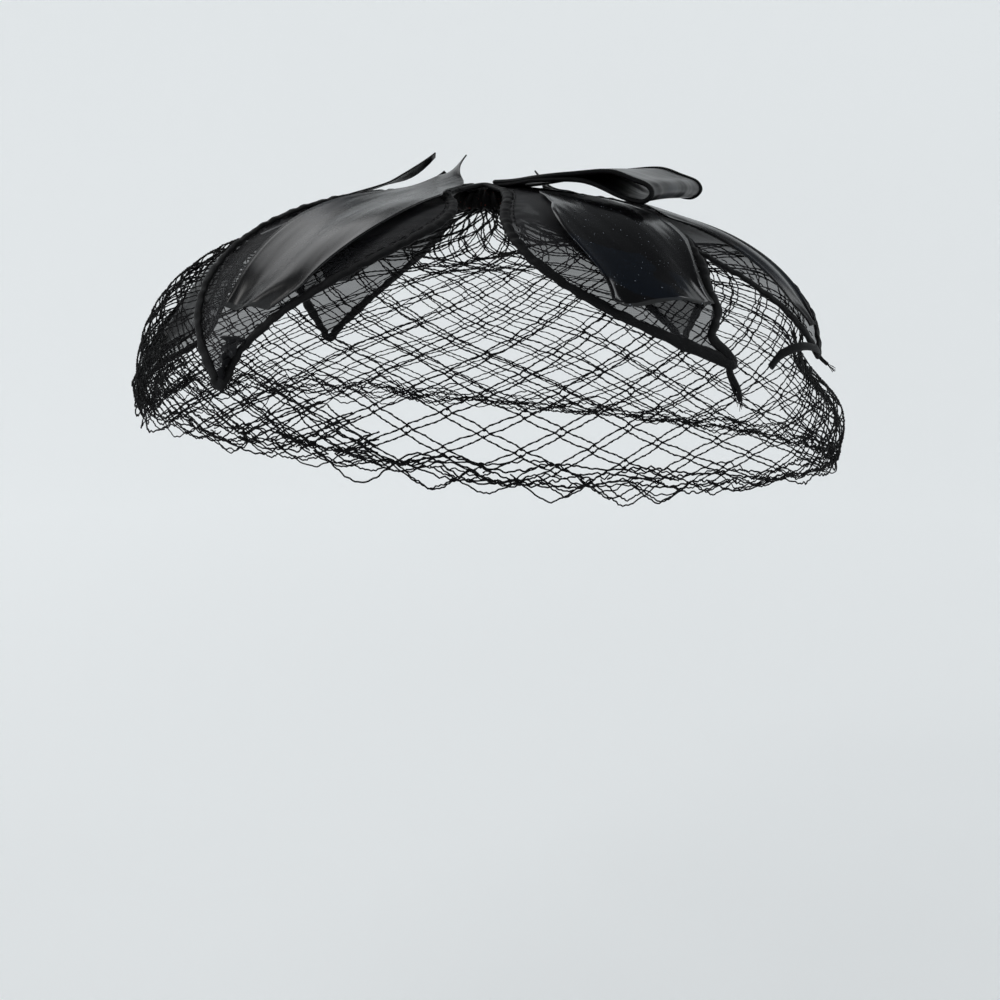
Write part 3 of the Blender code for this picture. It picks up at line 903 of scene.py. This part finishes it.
def cells_below(strands):
    """Zigzag threads that leave the cord, hang down and come back up to it."""
    for layer in range(ZIGZAG_LAYERS):
        count = ZIGZAGS + MORE_ZIGZAGS * layer
        for index in range(count):
            middle = 2 * math.pi * (index + draw.uniform(-0.25, 0.25)) / count
            front = math.exp(-((turned(middle, FRONT_AZIMUTH) / FRONT_SPREAD) ** 2))
            left = max(-math.cos(middle), 0.0)
            drop = (ZIGZAG_DROP + DROP_AT_FRONT * front + DROP_AT_LEFT * left) * draw.uniform(0.35, 1.1)
            half = math.pi / count * draw.uniform(0.95, 1.3)
            share = np.linspace(-1.0, 1.0, ZIGZAG_POINTS)
            azimuth = middle + half * share
            fall = 0.0018 + drop * (1.0 - np.abs(share) ** 1.3)
            crinkle = Wander(*ZIGZAG_CRINKLE)
            length = share * half * VEIL_RADIUS
            inward = 0.0008 + 0.0015 * draw.random() + 0.0012 * (1.0 - np.abs(share)) + crinkle(length)
            path, outward = hem_path(azimuth, fall + crinkle(length + 0.01), inward)
            strands.add(path, outward, THREAD_RADIUS)


class Petal:
    """One petal's surface, measured from its root along the midrib and across it."""

    def __init__(self, name, azimuth, bend, length, rise, curl_clock, curl_anti):
        self.name = name
        self.azimuth = math.radians(azimuth)
        self.bend = math.radians(bend)
        self.length = length
        self.rise = rise
        self.curls = (curl_clock, curl_anti)
        self.sink = PETAL_SINKS.get(name, 0.0)
        self.order = [row[0] for row in PETALS].index(name)

    def width_at(self, share, side):
        share = np.clip(share, 0.0, 1.0)
        sides = OUTLINES.get(self.name, (EVEN_SIDE, EVEN_SIDE))
        clock, anti = (half * np.sin(math.pi * share**widest) ** pointed for half, widest, pointed in sides)
        for centre, reach, far in EDGE_WAVES.get(self.name, ()):
            anti = anti + far * np.exp(-(((share - centre) / reach) ** 2))
        return ROOT_HALF_WIDTH * (1.0 - share) ** ROOT_TAPER + np.where(np.asarray(side) < 0, clock, anti)

    def spread(self, shares, sides):
        """Places across for sides from -1 at the clockwise edge to 1 at the other."""
        return np.where(sides < 0, -self.width_at(shares, -1), self.width_at(shares, 1)) * np.abs(sides)

    def lift(self, share, across):
        seat = GAP + STAY_HEIGHT + GAP + BINDING_RADIUS
        rooted = 1.0 - smooth_step(*ROOT_COMES_DOWN, share)
        level = PETAL_LIFT + (seat - PETAL_LIFT) * rooted - self.sink * smooth_step(*SINKS_FROM, share)
        turned_in = PETAL_TURNS_IN.get(self.name, 0.0) * smooth_step(*TURNS_FROM, share)
        level = level - turned_in * (across + self.width_at(share, -1))
        level = level + 0.0003 * self.order * (1.0 - smooth_step(0.0, 0.12, share))
        side = across / np.maximum(self.width_at(share, across), ROOT_HALF_WIDTH)
        open_ = np.sin(math.pi * np.clip(share, 0.0, 1.0))
        curl = np.where(side < 0, self.curls[0], self.curls[1])
        curled = curl * np.minimum(np.abs(side), CURL_REACH) ** CURL_POWER
        return level + open_ * (self.rise * (1.0 - side * side) + curled)

    def place(self, share, across):
        arc = ROOT_RADIUS + self.length * share
        middle = self.azimuth + self.bend * np.maximum(share, 0.0) ** BEND_POWER
        return middle + across / dome_radius(middle, arc), arc

    def point(self, share, across, above=0.0):
        share, across, above = np.broadcast_arrays(*(np.asarray(x, float) for x in (share, across, above)))
        azimuth, arc = self.place(share, across)
        return above_dome(azimuth, arc, self.lift(share, across) + above)

    def normal(self, share, across):
        return dome_normal(*self.place(share, across))

    def tip(self):
        """(share of the length, place across) where the outline has narrowed to the round tip."""
        low, high = TIP_SEARCH
        for _ in range(TIP_HALVINGS):
            middle = (low + high) / 2
            if self.width_at(middle, -1) + self.width_at(middle, 1) > 2 * TIP_RADIUS:
                low = middle
            else:
                high = middle
        return low, float(self.width_at(low, 1) - self.width_at(low, -1)) / 2

    def flat(self):
        """(width and length, area) of the petal laid flat."""
        shares = np.linspace(0.0, 1.0, 200)
        widths = self.width_at(shares, -1) + self.width_at(shares, 1)
        return (float(widths.max()), self.length), float(np.mean(widths) * self.length)

    def organza(self):
        """The sheer petal itself, puckered along its bound edge and gently folded along its length."""
        end, _ = self.tip()
        shares = np.linspace(ROOT_SHARE, end, PETAL_ROWS)[:, None]
        sides = np.linspace(-1.0, 1.0, PETAL_COLUMNS)[None, :]
        across = self.spread(shares, sides)
        run = shares * self.length
        pucker = PUCKER * np.abs(sides) ** 5 * np.sin(run * PUCKER_TURNS + 3.0 * sides)
        folds = FOLD * np.sin(across * FOLD_TURNS + 2.2 * np.sin(run * 30.0) + self.azimuth)
        inside = (1.0 - sides**4) * smooth_step(0.10, 0.3, shares)
        points = self.point(shares, across, pucker + folds * inside)
        return add_cloth("organza_" + self.name, points, run, across, "organza")

    def outline(self, inset, step=BINDING_STEP):
        """Shares and places across along the edge, from one root corner round the tip to the other."""
        end, middle = self.tip()
        number = int(end * self.length / step)
        shares = np.linspace(ROOT_SHARE, end, number)
        angles = np.linspace(-math.pi / 2, math.pi / 2, 9)[1:-1]
        turn_share = end + TIP_RADIUS * np.cos(angles) / self.length
        turn_across = middle + TIP_RADIUS * np.sin(angles)
        share = np.concatenate([shares, turn_share, shares[::-1]])
        clock, anti = self.width_at(shares, -1) - inset, self.width_at(shares, 1) - inset
        across = np.concatenate([-clock, turn_across, anti[::-1]])
        return share, across

    def binding(self, arch):
        """The bound edge: a flat folded ribbon, gathered a little by its stitches."""
        strands = Strands()
        share, across = self.outline(0.0)
        path = self.point(share, across)
        run = np.arange(len(path)) * BINDING_STEP
        gather = Wander(0.00012, 0.0031, 0.0046, 0.011)
        breadth = Wander(0.00016, 0.0040, 0.013, 0.031)
        outward = unit(self.normal(share, across) + 0.25 * np.sin(run * 90.0)[:, None] * UP)
        rooted = 0.62 + 0.38 * smooth_step(0.0, 0.12, share)
        path = path + outward * gather(run)[:, None]
        half_width = (BINDING_HALF_WIDTH + breadth(run)) * rooted
        strands.add(path, outward, half_width, BINDING_HALF_DEPTH * rooted, sides=10)
        strands.add(*arch, BINDING_HALF_WIDTH * 0.9, BINDING_HALF_DEPTH, sides=10)
        return strands.piece("edge_" + self.name, "binding")

    def edge(self, share, side):
        return self.point(share, side * self.width_at(share, side))

    def stitches(self, strands):
        share, across = self.outline(STITCH_INSET, STITCH_EVERY)
        keep = (share > 0.10) & (np.abs(across) > STITCH_INSET)
        share, across = share[keep], across[keep]
        path = self.point(share, across, 0.00045)
        outward = self.normal(share, across)
        reach = STITCH_LENGTH / STITCH_EVERY
        for first, second, out in zip(path[:-1], path[1:], outward):
            if np.linalg.norm(second - first) > 3 * STITCH_EVERY:
                continue
            steps = np.linspace(0.0, reach, 5)[:, None]
            bow = STITCH_BOW * np.sin(np.linspace(0.0, math.pi, 5))[:, None]
            strands.add(first + (second - first) * steps + out * bow, out, STITCH_RADIUS)

    def leaf(self, finish):
        """The glossy leaf, creased along its length, with thin edges that curl."""
        start, end, width, widest, blunt, aside, end_aside, tip_stand, end_stand = LEAVES[self.name]
        seat = ORGANZA_WALL / 2 + GAP + VINYL_WALL / 2
        share = np.linspace(0.0, 1.0, LEAF_ROWS)
        cut = LEAF_CUT[0] + (LEAF_CUT[1] - LEAF_CUT[0]) * share
        shape = np.sin(math.pi * cut**widest) ** LEAF_POINTED
        half = width * shape + blunt * share**BLUNT_POWER * (1.0 - shape)
        half = half * (SPIKE_SHARE + (1.0 - SPIKE_SHARE) * smooth_step(0.0, SPIKE_BY, share))
        clear = SPIKE_CLEAR * (tip_stand > 0) * (1.0 - smooth_step(0.1, 0.45, share))
        ends = tip_stand * (1.0 - share) ** SPIKE_POWER + end_stand * share**STAND_POWER
        stand = seat + clear + LEAF_STAND * ends
        place = start + (end - start) * share
        middle = (aside + (end_aside - aside) * share * share) * smooth_step(0.0, LEAF_ASIDE_BY, share)
        low, high = middle - half, middle + half
        held = smooth_step(*LEAF_HELD, place)
        low = low + held * (np.maximum(low, LEAF_MARGIN - self.width_at(place, -1)) - low)
        high = high + held * (np.minimum(high, self.width_at(place, 1) - LEAF_MARGIN) - high)
        least = SPIKE_END + (LEAF_END_HALF_WIDTH - SPIKE_END) * share
        middle, half = (low + high) / 2, np.maximum((high - low) / 2, least)
        twist = SPIKE_TWIST * (tip_stand > 0) * half * (1.0 - smooth_step(0.0, TWIST_BY, share))
        sides = np.linspace(-1.0, 1.0, LEAF_COLUMNS)[None, :]
        along = share[:, None]
        creased = smooth_step(*CREASED_FROM, along)
        across = middle[:, None] + half[:, None] * sides
        run = (end - start) * self.length * along
        crease = LEAF_CREASE * np.sin(sides * 4.2 + 2.5 * along + self.azimuth) * creased
        rim = LEAF_RIM * np.abs(sides) ** 7 * creased
        wavy = blunt / WIDEST_BLUNT * LEAF_WAVE * smooth_step(0.86, 1.0, along) * np.sin(sides * 3.4 + 1.0)
        rise = stand[:, None] + crease + rim + wavy + twist[:, None] * sides + LEAF_CLEAR
        points = self.point(place[:, None], across, rise)
        leaf = add_cloth("vinyl_" + self.name, points, run, across, "vinyl", finish)
        thicken(leaf, LEAF_THICKNESS)
        flat = (2 * float(half.max()), (end - start) * self.length)
        return leaf, flat, float(np.mean(2 * half)) * flat[1]


def thicken(obj, wall):
    solid = obj.modifiers.new("wall", "SOLIDIFY")
    solid.thickness = wall
    solid.offset = 0.0


def crown_arch(petal, following):
    """The ribbon that binds two petals runs from one to the next in an arch over the crown."""
    down = [petal.edge(share, 1) for share in ARCH_FROM]
    up = [following.edge(share, -1) for share in reversed(ARCH_FROM)]
    middle = (down[-1] + up[0]) / 2
    middle = middle * ARCH_RADIUS / np.hypot(middle[0], middle[1])
    middle[2] = ARCH_HEIGHT
    path = smooth_path([*down, middle, *up], 90)
    outward = unit(path * (0.6, 0.6, 0.0) + UP * 0.012)
    return path, outward


def ribbon_tail(strands, start, steps, lean, half_width):
    """A short end of ribbon that hangs past a tip, frayed into its threads."""
    path = smooth_path([start, *(start + np.array(step) for step in steps)], 40)
    width = half_width * np.linspace(1.0, 0.75, len(path))
    strands.add(path, lean, width, BINDING_HALF_DEPTH * 0.8, sides=8)
    run = unit(path[-1] - path[-4])
    aside = unit(np.cross(run, lean))
    for _ in range(TAIL_THREADS):
        begin = path[-3] + aside * draw.uniform(-1.0, 1.0) * width[-1]
        away = run * draw.uniform(0.0016, 0.0042) + aside * draw.uniform(-0.0014, 0.0014)
        away = away + np.array(lean) * draw.uniform(-0.0006, 0.0006)
        strands.add([begin, begin + away * 0.35, begin + away * 0.7, begin + away], lean, TAIL_THREAD_RADIUS)


def make_tails(petals):
    """Ends of the binding past two tips: a frayed pair below one, a small curl of ribbon at the other."""
    strands = Strands()
    for name, tails in FRAYED_TAILS.items():
        end, middle = petals[name].tip()
        start = petals[name].point(end + 0.01, middle)
        lean = petals[name].normal(end, middle)
        for steps, half_width in tails:
            ribbon_tail(strands, start, steps, lean, half_width)
    path = smooth_path([start, *(start + np.array(step) for step in CURLED_TAIL)], 60)
    strands.add(path, lean, CURL_HALF_WIDTH, BINDING_HALF_DEPTH, sides=8)
    strands.piece("ribbon_ends", "binding")


def crumpled_tip(petal):
    """The torn fold of sheer cloth at a tip: a scrap doubled up and pulled into creases."""
    share = np.linspace(*SCRAP_SHARES)[:, None]
    side = np.linspace(*SCRAP_SIDES)[None, :]
    side = side + 0.14 * np.sin(share * 260.0) * (side < 0.2)
    across = petal.spread(share, side)
    wrinkle = 0.0010 * np.sin(share * 150.0 + 5.0 * side) + 0.0008 * np.sin(9.0 * side - 60.0 * share)
    points = petal.point(share, across, 0.0018 + wrinkle)
    run = share * petal.length * SCRAP_THINNER
    return add_cloth("folded_tip_" + petal.name, points, run, across, "organza")


def make_petals():
    stitches = Strands()
    petals = {row[0]: Petal(*row) for row in PETALS}
    following = dict(zip(petals, [*list(petals)[1:], list(petals)[0]]))
    for petal in petals.values():
        organza = petal.organza()
        binding = petal.binding(crown_arch(petal, petals[following[petal.name]]))
        petal.stitches(stitches)
        leaf, flat, area = petal.leaf("dusty" if petal.name == "near_right" else "vinyl")
        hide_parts("petal_" + petal.name)
        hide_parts("binding_" + petal.name)
        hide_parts("leaf_" + petal.name)
        if petal.name == "near_left":
            fold = crumpled_tip(petal)
            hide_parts("petal_near_left")
        size, whole = petal.flat()
    stitches.piece("petal_stitches", "binding")
    make_tails(petals)


def smooth_path(points, number):
    """A Catmull-Rom curve through the points."""
    points = np.asarray(points, float)
    padded = np.vstack([2 * points[0] - points[1], points, 2 * points[-1] - points[-2]])
    places = np.linspace(0.0, len(points) - 1, number)
    index = np.minimum(places.astype(int), len(points) - 2)
    t = (places - index)[:, None]
    a, b, c, d = (padded[index + k] for k in range(4))
    return 0.5 * (2 * b + (c - a) * t + (2 * a - 5 * b + 4 * c - d) * t**2 + (3 * b - a - 3 * c + d) * t**3)


def make_bow():
    """The ribbon loop: one wide ribbon with corded edges, turned over at its far end."""
    direction = math.radians(BOW_AZIMUTH)
    along = np.array((math.cos(direction), math.sin(direction), 0.0))
    aside = np.array((-along[1], along[0], 0.0))
    root = VEIL_WALL + GAP + STAY_HEIGHT + GAP + 2 * BINDING_RADIUS + GAP + RIBBON_WALL / 2
    side_view = smooth_path(BOW_SIDE, BOW_ROWS)
    spread = smooth_step(0.0, BOW_SPREAD_BY, side_view[:, 0])
    half = BOW_ROOT_HALF_WIDTH + (BOW_HALF_WIDTH - BOW_ROOT_HALF_WIDTH) * spread
    sides = np.linspace(-1.0, 1.0, BOW_COLUMNS)
    centre = side_view[:, :1] * BOW_LENGTH * along + UP * (root + side_view[:, 1:] * BOW_HEIGHT)
    steps = np.concatenate([[0.0], np.cumsum(np.linalg.norm(np.diff(centre, axis=0), axis=1))])
    dent = BOW_DENT * np.sin(steps * 210.0)[:, None] * np.cos(sides * 2.2)[None, :]
    tilt = BOW_TILT * smooth_step(0.05, 0.5, side_view[:, 0])[:, None] * sides[None, :]
    points = centre[:, None, :] + aside * (half[:, None] * sides)[..., None] + UP * (dent + tilt)[..., None]
    ribbon = add_cloth("loop_ribbon", points, steps[:, None], half[:, None] * sides, "ribbon")
    thicken(ribbon, BOW_THICKNESS)
    cords = Strands()
    turning = np.cross(unit(np.gradient(centre, axis=0)), aside)
    for column in (0, -1):
        cords.add(points[:, column], turning, 0.0011, 0.0008, sides=8)
    edges = cords.piece("loop_edges", "binding")
    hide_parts("bow_loop")
    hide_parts("bow_loop")
    area = float(2 * half.mean() * steps[-1])


def make_crown():
    """The gathered cloth under the petals' roots, pleated round and sewn down."""
    angle = np.linspace(0.0, 2 * math.pi, CROWN_TURNS, endpoint=False)
    rings = []
    for radius, height in smooth_path(CROWN_PROFILE, CROWN_RINGS):
        pleats = 0.0007 * np.sin(23 * angle + 60.0 * radius) + 0.0004 * np.sin(41 * angle)
        reach = radius + pleats * min(radius / 0.006, 1.0)
        lift = height + 0.5 * pleats * min(radius / 0.006, 1.0)
        rings.append(np.stack([reach * np.cos(angle), reach * np.sin(angle), lift], -1))
    faces = grid_faces(CROWN_RINGS, CROWN_TURNS, around=True)
    faces.append(tuple(reversed(range(CROWN_TURNS))))
    faces.append(tuple(range((CROWN_RINGS - 1) * CROWN_TURNS, CROWN_RINGS * CROWN_TURNS)))
    crown = add_piece("crown_gathers", np.concatenate(rings), faces, "stay")
    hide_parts("crown_stay")


def make_stage():
    """A pale floor that sweeps up into a low pale wall all round, far enough away for every view."""
    line = [(0.01, STAGE_FLOOR), (0.5, STAGE_FLOOR), (STAGE_FLAT, STAGE_FLOOR)]
    for step in range(1, STAGE_BEND_STEPS + 1):
        angle = step / STAGE_BEND_STEPS * math.pi / 2
        height = STAGE_FLOOR + STAGE_BEND * (1.0 - math.cos(angle))
        line.append((STAGE_FLAT + STAGE_BEND * math.sin(angle), height))
    line.append((STAGE_FLAT + STAGE_BEND, STAGE_TOP))
    angles = [2 * math.pi * turn / STAGE_TURNS for turn in range(STAGE_TURNS)]
    points = [(r * math.cos(a), r * math.sin(a), z) for r, z in line for a in angles]
    faces = grid_faces(len(line), STAGE_TURNS, around=True)
    faces.append(tuple(range(STAGE_TURNS)))
    paper = stage_finish("studio_paper", (0.56, 0.57, 0.575), 0.8, (0.87, 0.905, 0.92), 0.42)
    add_mesh("studio_sweep", points, faces, paper)


def add_light(name, place, aim, size, power, colour):
    lamp = bpy.data.lights.new(name, "AREA")
    lamp.shape = "RECTANGLE"
    lamp.size, lamp.size_y = size
    lamp.energy = power
    lamp.color = colour
    obj = add_object(name, lamp)
    obj.location = place
    obj.rotation_mode = "QUATERNION"
    obj.rotation_quaternion = (Vector(aim) - Vector(place)).to_track_quat("-Z", "Y")


def make_light():
    world = bpy.data.worlds.new("studio")
    world.use_nodes = True
    background = world.node_tree.nodes["Background"]
    background.inputs["Color"].default_value = (0.90, 0.95, 1.0, 1.0)
    background.inputs["Strength"].default_value = 0.12
    bpy.context.scene.world = world
    for row in LIGHTS:
        add_light(*row)


def make_camera():
    """The photograph's place and angle: just below the crown, tilted down a little."""
    camera = bpy.data.cameras.new("camera")
    camera.sensor_width = 36.0
    camera.lens = 50.4
    camera.clip_start = 0.01
    obj = add_object("camera", camera)
    obj.location = (0.0046, -0.504, -0.023)
    obj.rotation_euler = (math.radians(80.7), 0.0, 0.0)
    bpy.context.scene.camera = obj
    bpy.context.scene.view_settings.view_transform = "Standard"


make_veil()
make_side_layers()
make_hem()
make_petals()
make_bow()
make_crown()
make_stage()
make_light()
make_camera()
